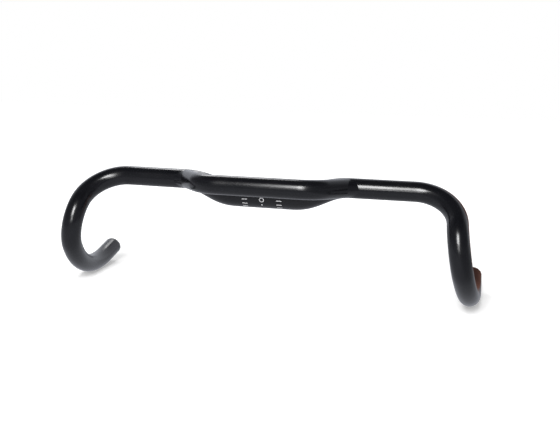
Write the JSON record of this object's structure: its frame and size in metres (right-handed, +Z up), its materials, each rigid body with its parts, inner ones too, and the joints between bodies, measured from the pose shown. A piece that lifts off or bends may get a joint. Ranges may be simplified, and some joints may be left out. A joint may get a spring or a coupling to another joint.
{
  "type": "gravel drop handlebar",
  "caption": "Black aluminium drop handlebar for gravel riding, with a dropped stem clamp, flared drops and a forward cross loop.",
  "frame": {"origin": "centre of the stem clamp section, on its axis", "axes": "+X along the bar to the right as seen from the front, -Y forward, +Z up, with the tops and the loop level"},
  "size_m": [0.5348, 0.173, 0.1537],
  "materials": {
    "tube_black": "satin black anodised tube with a fine grain",
    "loop_black": "satin black anodised tube with a fine grain",
    "weld_black": "smooth ground weld under the same satin black"
  },
  "bodies": {
    "root": {"bar_tube": "tube_black", "front_loop": "loop_black", "weld_left": "weld_black", "weld_right": "weld_black"}
  },
  "joints": []
}
